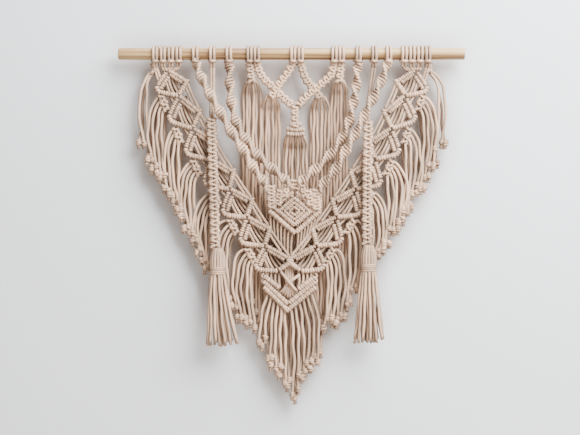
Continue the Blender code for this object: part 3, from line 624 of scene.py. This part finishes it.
def lark_head(yarn, x):
    """A pair of cords looped over the dowel, with the short bar that holds them in front."""
    ring = DOWEL_RADIUS + CORD + 0.1
    half = LOOP_HALF + jitter(0.15)
    loop = ((0.9, 6.0, 7.6), (1.0, 0.0, ring), (1.0, -ring * 0.72, ring * 0.72),
            (1.0, -ring, 0.0), (1.0, -ring * 0.7, -ring * 0.7), (1.0, 0.0, -ring),
            (1.0, 6.0, -ring * 0.76), (0.85, 11.0, -4.0), (0.8, 17.0, -1.5))
    for sign in (-1, 1):
        strand(yarn, CORD, 2.0,
               *((x + sign * half * share, drop, depth) for share, drop, depth in loop))
    side = ((0.9, 3.0, 8.0), (1.9, 8.2, 2.0), (1.3, 9.7, -4.8), (-1.2, 10.1, -8.0))
    bar = [(x - (half + out), drop, depth) for out, drop, depth in side]
    bar += [(x + (half + out), drop, depth) for out, drop, depth in side[::-1]]
    strand(yarn, CORD, 1.6, *bar)


def overhand(yarn, tip, size):
    """The knot at a cord's end: two tilted turns and a crossing one, with a frayed tail."""
    centre = tip + (0, 0, KNOT_HALF)
    turns = 3
    lift = np.linspace(1.9, -1.9, turns) * size
    aside = jitter(0.7, turns) * size
    where = centre + np.stack([aside, np.zeros(turns), lift], axis=1)
    spin = CHANCE.uniform(0, math.pi)
    across = np.tile((math.cos(spin), math.sin(spin), 0.0), (turns, 1))
    outward = np.tile((-math.sin(spin), math.cos(spin), 0.0), (turns, 1))
    onward = np.tile((0.0, 0.0, -1.0), (turns, 1))
    reach = np.array((1.6, 2.1, 1.7)) * size
    yarn.rings(where, onward, across, outward, reach, reach, 1.75 * size, jitter(0.7, turns))
    frayed(yarn, tip, TAIL * CHANCE.uniform(0.8, 1.7))


def frayed(yarn, tip, length, spread=2.6, strands=7):
    """Loose fibre strands that fan out below a cut end."""
    for n in range(strands):
        angle = n * math.tau / strands + CHANCE.uniform(0, 0.8)
        aside = np.array((math.cos(angle), math.sin(angle) * 0.8, 0.0))
        reach = spread * CHANCE.uniform(0.2, 1.0)
        start = tip + aside * 0.7 + (0, 0, 2.0)
        drop = length * CHANCE.uniform(0.7, 1.1)
        yarn.cord([start, start + aside * reach * 0.4 - (0, 0, drop * 0.5 + 1.0),
                   start + aside * reach - (0, 0, drop + 1.5)], (1.0, 0.9, 0.6), sides=4)


def wavy(path, amount):
    """A cord never hangs quite straight: give its lower run a slow wander."""
    travelled = lengths(path)
    share = np.clip(travelled / 30.0, 0, 1)
    wander = np.zeros_like(path)
    for axis in (0, 1):
        for wave in (38.0, 71.0):
            phase = travelled / wave * math.tau + CHANCE.uniform(0, math.tau)
            wander[:, axis] += np.sin(phase) * amount * 0.5
    return path + wander * share[:, None]


def knotted_cord(yarn, points, amount):
    """A hanging cord through these points, finished with an overhand knot."""
    path = wavy(smooth(points, 5.0), amount)
    yarn.cord(path)
    overhand(yarn, path[-1] - (0, 0, KNOT_HALF), CHANCE.uniform(1.0, 1.3))


# --- the net bands ---
def band_frame(n):
    here = np.array(CROSSINGS[n], float)
    axis = unit(here - CROSSINGS[n - 1]) if n else unit(np.array(BAND_TOP_AXIS))
    return here, axis, np.array((axis[1], -axis[0]))


def net_point(side, n, spot):
    """A point of the stretch of net that follows crossing n."""
    here = np.array(CROSSINGS[n], float)
    _, axis, outward = band_frame(n + 1)
    reach = np.linalg.norm(np.array(CROSSINGS[n + 1]) - here) / NET_LENGTH
    flat = here + axis * spot.on * reach + outward * spot.outward
    if n == len(CROSSINGS) - 2 and spot.outward < -1:
        # The two bands lean together and meet above the tip.
        flat += (LAST_CORNER - net_corner(n)) * min(1.0, -spot.outward / 15.0) * spot.on / 31.0
    return place(side, flat[0], flat[1], spot.depth)


def net_corner(n):
    """The inner corner of the net, where its two inner bars meet the single one."""
    here, axis, outward = band_frame(n + 1)
    return here - axis * BAND_BACK - outward * BAND_INNER


def band(side, name):
    yarn = Yarn(DEPTH_SHADE)
    for n in range(len(CROSSINGS) - 1):
        for bars, thick in ((OUTER_BARS, PAIR_THICK), (INNER_BARS, PAIR_THICK),
                            (SINGLE_BARS, SINGLE_THICK)):
            for bar in bars:
                hitches(yarn, smooth([net_point(side, n, spot) for spot in bar]), thick)
        for spots in NET_STRANDS:
            yarn.cord(smooth([net_point(side, n, spot) for spot in spots], 3.0), NET_CORD)
        for start, end in PASSING_STRANDS if n else ():
            start, end = net_point(side, n - 1, start), net_point(side, n, end)
            yarn.cord(smooth([start, (start + end) / 2 + (side * 0.5, 0, 0), end], 3.0), NET_CORD)
    for fan in FANS:
        lark_head(yarn, side * fan.loop_out)
        for shift in (-1.8, 1.8):
            start = at(side * fan.loop_out + shift, 17.0, -1.5)
            end = net_point(side, 0, fan.goal) + (shift, 0, 0)
            yarn.cord(smooth([start, (start + end) / 2 - (0, 0.6, 0), end], 3.0), HELD)
    yarn.build(f"{name}_net", name)


# --- fringe ---
def group_strip(n):
    """The top and the foot of the short sennit that a fringe group grows from."""
    if n == 0:
        return [np.array(end, float) for end in FIRST_STRIP]
    here, axis, outward = band_frame(n)
    return [here + axis * end.on + outward * end.outward for end in EDGE_STRIP]


def fringe_group(side, n, name):
    yarn = Yarn(DEPTH_SHADE)
    top, foot = group_strip(n)
    group = FRINGE_GROUPS[n]
    square_knots(yarn, smooth([place(side, *top, 2.0), place(side, *((top + foot) / 2), 1.4),
                               place(side, *foot, 2.0)]), *STRIP_KNOTS)
    for k in range(group.cords):
        share = k / (group.cords - 1)
        row = k % 2
        down = 0.05 + 0.9 * share if n else 0.7 + 0.3 * share
        start = part_way(top, foot, down) + (1.0 - 1.5 * row, 0)
        out = part_way(group.outermost, group.innermost, share) + jitter(0.8)
        middle = part_way(group.outermost, group.innermost, (k // 2 * 2 + 0.5) / (group.cords - 1))
        low = middle + (PAIR_APART if row else -PAIR_APART)
        if row == 0:
            level = between(HEM, middle) + CHANCE.uniform(*FRINGE_RAGGED)
        end = level + jitter(2.5)
        depth = FRINGE_DEPTH[row] + jitter(0.9)
        root = place(side, start[0], start[1], 2.0 + 2.5 * row)
        hang = place(side, out, end, depth)
        foot_x = place(side, low, end)[0]
        reach = hang[0] - root[0]
        arc = HIGH_ARC if n > 4 and k < 2 else LOW_ARC
        fall = abs(reach) * 1.25 + 6.0 + CHANCE.uniform(0.0, 4.0)
        bow = CHANCE.uniform(0.0, 3.0)
        points = [root + (reach * along, (depth - root[1]) * along, -fall * down)
                  for along, down in arc]
        below = points[-1][2]
        for along in (0.3, 0.66, 1.0):
            x = hang[0] + side * bow * (1 - along) + (foot_x - hang[0]) * along ** 2
            points.append((x, part_way(depth, 0.6, along ** 3),
                           part_way(below, hang[2] + 2 * KNOT_HALF, along)))
        knotted_cord(yarn, points, FRINGE_SWAY)
    yarn.build(f"{name}_cords", name)


def curtain(name, group):
    yarn = Yarn()
    for n in range(group.cords):
        share = n / (group.cords - 1)
        x = part_way(group.hang_left, group.hang_right, share) + jitter(1.0)
        low = part_way(group.low_left, group.low_right, share) + jitter(0.8)
        end = between(HEM, abs(low)) - CURTAIN_SHORT - CHANCE.uniform(0.0, CURTAIN_RAGGED)
        depth = CURTAIN_DEPTH - CURTAIN_STEP * (n % 2)
        root = at(group.root_x + group.root_half * (share * 2 - 1), group.drop - 2.0, 1.0)
        reach = x - root[0]
        points = [root, at(root[0] + reach * 0.5, group.drop + 3.0, 3.0),
                  at(root[0] + reach * 0.9, group.drop + 11, depth * 0.6),
                  at(x, group.drop + 28, depth), at((x + low) / 2, (group.drop + end) / 2, depth),
                  at(low, end - 2 * KNOT_HALF, depth)]
        knotted_cord(yarn, points, CURTAIN_SWAY)
    yarn.build(f"{name}_cords", name)


def tip_fringe():
    yarn = Yarn(DEPTH_SHADE)
    left, apex, right = (at(spot.x, spot.drop, 2.5) for spot in TIP_ROOTS)
    for n in range(TIP_CORDS):
        share = (n + 0.5) / TIP_CORDS * 2 - 1
        arm = left if share < 0 else right
        root = part_way(apex, arm, 0.06 + 0.9 * abs(share))
        out = math.copysign(TIP_INNER + TIP_REACH * abs(share), share) + jitter(0.7)
        if n % TIP_BUNCH == 0:
            middle = ((n + TIP_BUNCH / 2) / TIP_CORDS * 2 - 1) * TIP_HEM_REACH
            level = between(HEM, abs(middle - TIP_SHIFT)) - CHANCE.uniform(0.0, 10.0)
        x = middle + TIP_BUNCH_APART * (n % TIP_BUNCH - 1)
        end = level + TIP_BUNCH_STEPS[n % TIP_BUNCH] + jitter(2.0)
        depth = FRINGE_DEPTH[n % 2] + jitter(0.8)
        x += between(SWAY, end)
        upper = part_way(root[0], out, 0.6)
        points = [root + (-0.6, 0, 1.5), (root[0] + 1.6, depth * 0.5 + 1.5, root[2] - 6.0),
                  (upper, depth, root[2] - 24.0),
                  (upper * 0.3 + out * 0.7, depth, root[2] * 0.45 - end * 0.55),
                  at(x, end - 2 * KNOT_HALF, 1.0)]
        knotted_cord(yarn, points, TIP_SWAY)
    yarn.build("tip_fringe_cords", "tip_fringe")


# --- spirals, sennits and tassels ---
def spiral(name, row):
    yarn = Yarn()
    lark_head(yarn, row.side * row.loop_out)
    start = Route(row.loop_out, row.route[0].drop - 6.0, -1.0)
    beads = [at(row.side * spot.out, spot.drop, spot.depth) for spot in (start, *row.route)]
    half_knot_spiral(yarn, beads, row.turn)
    yarn.build(f"{name}_knots", name)


def hanging_sennit(name, row):
    yarn = Yarn()
    lark_head(yarn, row.loop_x)
    top = at(row.top_x, row.top_drop, -4.4)
    for sign in (-1, 1):
        aside = sign * HELD_HALF
        yarn.cord(smooth([at(row.loop_x + aside, 16.0, -1.5),
                          at(row.loop_x * 0.6 + row.top_x * 0.4 + aside, 42.0, 2.4),
                          at(row.top_x + aside, row.top_drop - 12, 1.6),
                          top + (sign * 1.5, 0, 0)], 4.0), HELD)
    end = at(row.end_x, row.end_drop, -10.4)
    lean = part_way(top, end, 0.2)
    square_knots(yarn, smooth([top, (lean[0], -8.4, lean[2]), (lean + end) / 2 + (0, 0.8, 0), end]),
                 *HANGING_KNOTS)
    yarn.build(f"{name}_knots", name)


def tassel(name, row):
    yarn = Yarn()
    top = row.end_drop + 1.0
    x = row.tassel_x
    for n in range(TASSEL_HEAD_CORDS):
        angle = math.tau * (n + 0.3) / TASSEL_HEAD_CORDS
        across, deep = math.cos(angle), math.sin(angle)
        points = [at(x + across * radius, top + drop, TASSEL_DEPTH + deep * radius * TASSEL_FLAT)
                  for drop, radius in TASSEL_HEAD]
        yarn.cord(smooth(points, 3.0))
    turns = np.arange(TASSEL_WRAPS) * WRAP_PITCH
    levels = [at(x, top + WRAP_DROP + turn, TASSEL_DEPTH) for turn in turns]
    where, onward, across, outward = riding(np.array(levels), turns)
    yarn.rings(where, onward, across, outward, wide=9.4, deep=6.9, turn=1.3, slant=0.03, steps=24)
    foot = top + SKIRT_DROP
    middle = (row.flare_low + row.flare_high) / 2
    half = (row.flare_high - row.flare_low) / 2
    for ring in SKIRT_RINGS:
        for n in range(ring.strands):
            angle = math.tau * (n + jitter(0.2)) / ring.strands
            across, deep = math.cos(angle) * ring.share, math.sin(angle) * ring.share * TASSEL_FLAT
            length = SKIRT_LENGTH + CHANCE.uniform(-5.0, 2.5)
            wobble = jitter(1.8)
            rows = ((across * 7.2, -6.0, 7.2), (across * 9.3, 6.0, 9.3),
                    (middle * 0.2 + across * (8.0 + half * 0.25), length * 0.4, 10.4),
                    (middle * 0.6 + across * (4.0 + half * 0.62) + wobble, length * 0.72, 10.8),
                    (middle + across * half, length, 11.2))
            points = [at(x + aside, foot + drop, TASSEL_DEPTH + deep * reach)
                      for aside, drop, reach in rows]
            path = wavy(smooth(points, 5.0), 0.4)
            yarn.cord(path, CORD * 0.9)
            frayed(yarn, path[-1], 1.8, spread=1.0, strands=5)
    yarn.build(f"{name}_cords", name)


# --- lattice, diamond and chevron ---
def lattice():
    yarn = Yarn()
    for x in LATTICE_LOOPS:
        lark_head(yarn, x)
    for n, chain in enumerate(CHAINS):
        path = smooth([at(spot.x, spot.drop, 0.6 * (n % 2) - 0.4) for spot in chain], 2.0)
        square_knots(yarn, path, *CHAIN_KNOTS)
    for bar in LATTICE_BARS:
        hitches(yarn, smooth([at(spot.x, spot.drop, -0.8) for spot in bar]), LATTICE_THICK)
    yarn.build("lattice_knots", "lattice")


def between_spots(start, end, depth):
    return even(np.array([at(*start, depth), at(*end, depth)]), 2.0)


def diamond():
    yarn = Yarn()
    for half in DIAMOND_RINGS:
        corners = [Spot(DIAMOND_CENTRE.x + x * half.x, DIAMOND_CENTRE.drop + drop * half.drop)
                   for x, drop in ((-1, 0), (0, 1), (1, 0), (0, -1))]
        for start, end in zip(corners, corners[1:] + corners[:1]):
            hitches(yarn, between_spots(start, end, DIAMOND_DEPTH), DIAMOND_THIN)
    for start, end in DIAMOND_EDGES:
        hitches(yarn, between_spots(start, end, DIAMOND_DEPTH), DIAMOND_THICK)
    for start, end in (*DIAMOND_INNER_EDGES, *DIAMOND_SHOULDERS):
        hitches(yarn, between_spots(start, end, DIAMOND_DEPTH + 0.6), DIAMOND_THIN)
    for row in DIAMOND_SENNITS:
        square_knots(yarn, between_spots(row.top, row.foot, DIAMOND_DEPTH - 0.4),
                     row.half_width, DIAMOND_PITCH, DIAMOND_CORD)
    yarn.build("diamond_knots", "diamond")


def diamond_fringe():
    yarn = Yarn(DEPTH_SHADE)
    for start, apex in DIAMOND_EDGES:
        for n in range(DIAMOND_CORDS * 2 - 1):
            share = (n / 2 + 0.4) / DIAMOND_CORDS
            behind = n % 2
            x = part_way(apex.x, start.x, share)
            root = at(x, part_way(apex.drop, start.drop, share), -6.4 + 4.0 * behind)
            if start.x < 0:
                low = (x - 4.0) * 0.72 + 1.0 - 4.0 * share
            else:
                low = x - 2.0 - 7.0 * share
            goal = at(low, DIAMOND_END - abs(low) * 1.25, 3.0 + 2.6 * behind)
            out = math.copysign(1.2, x - 4.0)
            path = [root, root + (out, 0.6, -4.0), (root * 2 + goal) / 3 + (out * 1.4, 0, 0),
                    (root + goal * 2) / 3 + (out, 0, 0), goal]
            yarn.cord(smooth(path, 4.0), DIAMOND_THREAD, tone=BEHIND_PAINTED_SHADE if behind else None)
    yarn.build("diamond_fringe_cords", "diamond_fringe")


def chevron():
    yarn = Yarn()
    for row in CHEVRON_ROWS:
        hitches(yarn, between_spots(row.start, row.end, row.depth), ROW_THICK)
    for row in CHEVRON_CROSS:
        start, end = at(*row.start, row.depth + 3.0), at(*row.end, row.depth + 3.0)
        yarn.cord(smooth([start, (start + end) / 2 - (0, 3.0, 0), end], 3.0))
    # Cords that fan out in the opening between the two arms.
    for n in range(8):
        share = n / 7 * 2 - 1
        strand(yarn, 1.4, 3.0, (-3.2 + share * 2.6, 296.0, 0.5), (-3.2 + share * 6.5, 305.0, -0.8),
               (-3.6 + share * 12.0, 318.0 - abs(share) * 7.5, 0.5))
    for side in (-1, 1):
        # Cords that come down from the band to the top row.
        for n in range(4):
            x = side * (28.0 - 5.2 * n) - 3.0
            strand(yarn, 1.5, 3.0, (x, 281.0 + 1.2 * n, 1.0), (x + side * 0.8, 287.0 + 2.4 * n, 0.2),
                   (x - side * 0.6, 292.0 + 4.2 * n, 1.0))
        # Cords that turn from one row into the next at its outer end.
        for n in range(2):
            drop = 285.5 + 6.8 * n
            x = -37.0 if side < 0 else 31.5
            strand(yarn, HELD, 2.0, (x - side, drop - 1.0, -0.6), (x + side * 1.6, drop + 2.6, 0.4),
                   (x - side, drop + 6.4, -0.6))
    # Cords that come down the middle from the diamond.
    for n in range(4):
        strand(yarn, HELD, 4.0, (-8.0 + 3.2 * n, 270.0, 3.5), (-7.6 + 3.0 * n, 284.0, 4.0),
               (-7.2 + 2.8 * n, 298.0, 2.0))
    yarn.build("chevron_knots", "chevron")


# --- dowel ---
def dowel():
    end, full = DOWEL_LENGTH / 2, DOWEL_RADIUS
    softened = [(end, full - 0.9), (end - 0.5, full - 0.3), (end - 1.3, full)]
    rows = [(-x, radius) for x, radius in softened]
    rows += [(x, full) for x in np.linspace(-200, 200, 9)]
    rows += softened[::-1]
    angle = np.arange(DOWEL_SIDES) * math.tau / DOWEL_SIDES
    points = np.array([(x, radius * math.cos(turn), radius * math.sin(turn))
                       for x, radius in rows for turn in angle])
    yarn = Yarn()
    yarn.tube(points, len(rows), DOWEL_SIDES, np.array([x for x, radius in rows]), tone=0.5)
    piece = yarn.build("dowel_wood", "dowel", slot="wood", material=PINE)
    piece.data.set_sharp_from_angle(angle=math.radians(35))


# --- materials ---
def node(tree, kind, inputs=None, **settings):
    made = tree.nodes.new(kind)
    for name, value in settings.items():
        setattr(made, name, value)
    for key, value in (inputs or {}).items():
        if isinstance(value, bpy.types.NodeSocket):
            tree.links.new(value, made.inputs[key])
        else:
            made.inputs[key].default_value = value
    return made


def ramp(tree, value, stops):
    made = node(tree, "ShaderNodeValToRGB", {"Fac": value})
    while len(made.color_ramp.elements) < len(stops):
        made.color_ramp.elements.new(0.5)
    for element, (position, colour) in zip(made.color_ramp.elements, stops):
        element.position = position
        element.color = (*colour, 1.0)
    return made.outputs["Color"]


def new_material(name, roughness):
    material = bpy.data.materials.new(name)
    material.use_nodes = True
    shader = material.node_tree.nodes["Principled BSDF"]
    shader.inputs["Roughness"].default_value = roughness
    return material, material.node_tree, shader


def maths(tree, operation, *values):
    return node(tree, "ShaderNodeMath", dict(enumerate(values)), operation=operation).outputs[0]


def noise(tree, vector, scale, detail, roughness=0.5):
    return node(tree, "ShaderNodeTexNoise", {
        "Vector": vector, "Scale": scale, "Detail": detail, "Roughness": roughness,
    }).outputs["Fac"]


def finish_material(tree, shader, colour, height, strength, distance):
    """Lead the colour and a bump of this height to the shader."""
    bump = node(tree, "ShaderNodeBump", {
        "Strength": strength, "Distance": distance, "Height": height,
    })
    tree.links.new(colour, shader.inputs["Base Color"])
    tree.links.new(bump.outputs["Normal"], shader.inputs["Normal"])


def cotton_material():
    """Soft twisted cotton: plies that run around the cord, fine fibres, uneven tone, and painted shade
    on the sides of cords and on cords further back.
    """
    material, tree, shader = new_material("cotton", 0.9)
    uv = node(tree, "ShaderNodeUVMap", uv_map="cord").outputs["UV"]
    parts = node(tree, "ShaderNodeSeparateXYZ", {"Vector": uv})
    coordinates = node(tree, "ShaderNodeTexCoord")
    spot = coordinates.outputs["Object"]
    slope = maths(tree, "MULTIPLY", parts.outputs["Y"], 0.11)
    phase = maths(tree, "ADD", parts.outputs["X"], slope)
    wave = maths(tree, "SINE", maths(tree, "MULTIPLY", phase, 4.0 * math.pi))
    plies = maths(tree, "ABSOLUTE", wave)
    fibre_at = node(tree, "ShaderNodeCombineXYZ", {"X": phase, "Y": slope}).outputs[0]
    fibres = noise(tree, fibre_at, 26.0, 4.0, 0.65)
    height = maths(tree, "MULTIPLY_ADD", plies, 0.6, fibres)
    height = maths(tree, "MULTIPLY_ADD", noise(tree, spot, 900.0, 3.0), 0.35, height)
    tone = node(tree, "ShaderNodeAttribute", attribute_name="tone").outputs["Fac"]
    mixed = maths(tree, "MULTIPLY_ADD", tone, 0.35, noise(tree, spot, 24.0, 3.0))
    mixed = maths(tree, "SUBTRACT", mixed, 0.6)
    mixed = maths(tree, "MULTIPLY_ADD", fibres, 0.3, mixed)
    # Painted shade: faces turned to the side, into the gaps, are painted darker than those in front.
    normal = node(tree, "ShaderNodeSeparateXYZ", {"Vector": coordinates.outputs["Normal"]})
    facing = maths(tree, "ABSOLUTE", normal.outputs["Y"])
    mixed = maths(tree, "MULTIPLY_ADD", facing, 0.7, mixed)
    colour = ramp(tree, mixed, (
        (0.1, (0.15, 0.088, 0.055)), (0.75, (0.42, 0.278, 0.19)), (1.0, (0.61, 0.385, 0.255))))
    finish_material(tree, shader, colour, height, 0.45, 0.0005)
    shader.inputs["Sheen Weight"].default_value = 0.12
    shader.inputs["Sheen Roughness"].default_value = 0.45
    shader.inputs["Specular IOR Level"].default_value = 0.2
    return material


def pine_material():
    """Pale sanded pine, the grain running along the dowel."""
    material, tree, shader = new_material("pine", 0.55)
    spot = node(tree, "ShaderNodeTexCoord").outputs["Object"]
    along = node(tree, "ShaderNodeMapping", {"Vector": spot, "Scale": (0.018, 1.0, 1.0)}).outputs[0]
    grain = noise(tree, along, 420.0, 4.0, 0.6)
    mixed = maths(tree, "MULTIPLY_ADD", grain, 0.6, noise(tree, along, 150.0, 2.0))
    colour = ramp(tree, mixed, (
        (0.64, (0.17, 0.08, 0.025)), (0.77, (0.35, 0.205, 0.078)), (0.93, (0.44, 0.285, 0.12))))
    finish_material(tree, shader, colour, grain, 0.25, 0.0003)
    return material


# --- stage, light and camera ---
def stage_plane(name, corners, colour, see_through=False):
    mesh = bpy.data.meshes.new(name)
    mesh.from_pydata(corners, [], [(0, 1, 2, 3)])
    material, tree, shader = new_material(name, 0.95)
    shader.inputs["Base Color"].default_value = (*colour, 1.0)
    if see_through:
        # Painted shade: the wall is painted a warm dark brown where cotton hangs close in front of it.
        open_share = node(tree, "ShaderNodeAmbientOcclusion", {"Distance": SHADE_REACH}, samples=8)
        shaded = ramp(tree, open_share.outputs["AO"], ((0.35, WALL_PAINTED_SHADE), (0.98, colour)))
        tree.links.new(shaded, shader.inputs["Base Color"])
        back = node(tree, "ShaderNodeNewGeometry").outputs["Backfacing"]
        clear = node(tree, "ShaderNodeBsdfTransparent")
        mix = node(tree, "ShaderNodeMixShader", {0: back, 1: shader.outputs[0], 2: clear.outputs[0]})
        tree.links.new(mix.outputs[0], tree.nodes["Material Output"].inputs["Surface"])
    mesh.materials.append(material)
    plane = bpy.data.objects.new(name, mesh)
    bpy.context.scene.collection.objects.link(plane)
    return plane


def add_lamp(lamp):
    data = bpy.data.lights.new(lamp.name, "AREA")
    data.size = lamp.size
    data.energy = lamp.power
    data.color = lamp.colour
    light = bpy.data.objects.new(lamp.name, data)
    bpy.context.scene.collection.objects.link(light)
    light.location = lamp.location
    direction = Vector(lamp.target) - Vector(lamp.location)
    light.rotation_euler = direction.to_track_quat("-Z", "Y").to_euler()


def set_stage():
    reach = STAGE_REACH
    wall = stage_plane("wall", [(-reach, WALL_Y, FLOOR_Z), (reach, WALL_Y, FLOOR_Z),
                                (reach, WALL_Y, reach), (-reach, WALL_Y, reach)], WALL_COLOUR, True)
    wall.visible_shadow = False
    stage_plane("floor", [(-reach, -reach, FLOOR_Z), (reach, -reach, FLOOR_Z),
                          (reach, reach, FLOOR_Z), (-reach, reach, FLOOR_Z)], FLOOR_COLOUR)
    room = bpy.data.worlds.new("studio")
    room.use_nodes = True
    background = room.node_tree.nodes["Background"]
    background.inputs["Color"].default_value = ROOM_COLOUR
    background.inputs["Strength"].default_value = ROOM_STRENGTH
    bpy.context.scene.world = room
    for lamp in LAMPS:
        add_lamp(lamp)
    camera_data = bpy.data.cameras.new("camera")
    camera_data.lens = LENS
    camera_data.sensor_width = SENSOR
    camera = bpy.data.objects.new("camera", camera_data)
    bpy.context.scene.collection.objects.link(camera)
    camera.location = (VIEW_X, -VIEW_WIDTH * LENS / SENSOR, VIEW_Z)
    camera.rotation_euler = (math.pi / 2, 0, 0)
    bpy.context.scene.camera = camera


COTTON = cotton_material()
PINE = pine_material()
set_stage()
dowel()
lattice()
for side_name, side_sign in (("left", -1), ("right", 1)):
    band(side_sign, f"band_{side_name}")
    hanging_sennit(f"sennit_{side_name}", HANGINGS[side_name])
    tassel(f"tassel_{side_name}", HANGINGS[side_name])
    for group in range(len(CROSSINGS) - 1):
        fringe_group(side_sign, group, f"fringe_{side_name}_{group + 1}")
for spiral_name, spiral_row in SPIRALS.items():
    spiral(spiral_name, spiral_row)
for number, curtain_row in enumerate(CURTAINS, 1):
    curtain(f"curtain_{number}", curtain_row)
diamond()
diamond_fringe()
chevron()
tip_fringe()
